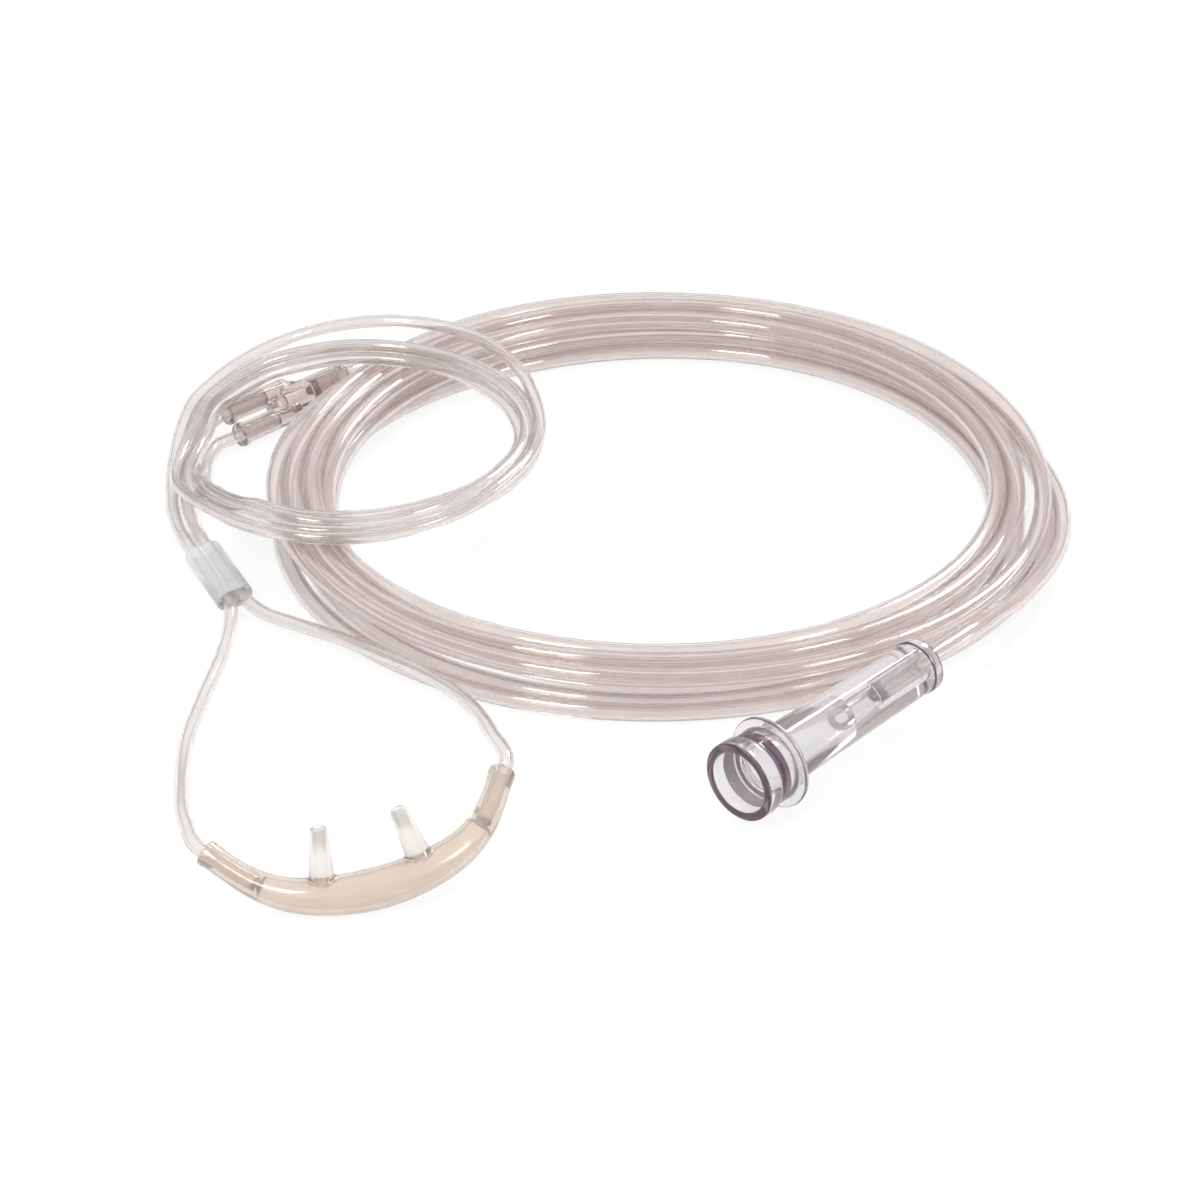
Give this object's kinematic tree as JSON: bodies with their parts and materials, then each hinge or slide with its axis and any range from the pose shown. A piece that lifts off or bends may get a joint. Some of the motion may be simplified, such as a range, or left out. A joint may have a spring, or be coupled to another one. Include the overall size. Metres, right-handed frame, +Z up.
{
  "type": "nasal oxygen cannula",
  "caption": "Nasal oxygen cannula: soft facepiece with prongs, sliding sleeve on paired tubes, Y connector, coiled supply tube and flared supply connector.",
  "frame": {"origin": "floor point under the middle of the facepiece's box", "axes": "+X across the facepiece from its left end to its right end, +Y from the facepiece to the coils, +Z up"},
  "size_m": [0.2148, 0.2645, 0.0214],
  "materials": {
    "facepiece_pvc": "clear soft vinyl with a peach tint",
    "small_tube_pvc": "clear extruded vinyl",
    "supply_tube_pvc": "clear extruded vinyl with a faint mauve tint",
    "sleeve_polyethylene": "frosted translucent, extruded",
    "connector_plastic": "clear moulded, glossy"
  },
  "bodies": {
    "cannula": {"nasal_facepiece": "facepiece_pvc", "left_tube": "small_tube_pvc", "right_tube": "small_tube_pvc", "small_coil": "small_tube_pvc", "left_tube_loop": "small_tube_pvc", "left_tube_lead": "small_tube_pvc", "right_tube_lead": "small_tube_pvc", "y_connector": "connector_plastic", "supply_tube_lead": "supply_tube_pvc", "supply_coil": "supply_tube_pvc", "supply_tube_end": "supply_tube_pvc", "supply_connector": "connector_plastic"},
    "sleeve": {"slide_sleeve": "sleeve_polyethylene"}
  },
  "joints": [
    {"name": "sleeve_slide", "type": "slide", "parent": "cannula", "child": "sleeve", "axis": [-0.4, 0.9165, 0], "range_m": [0, 0.006]}
  ]
}
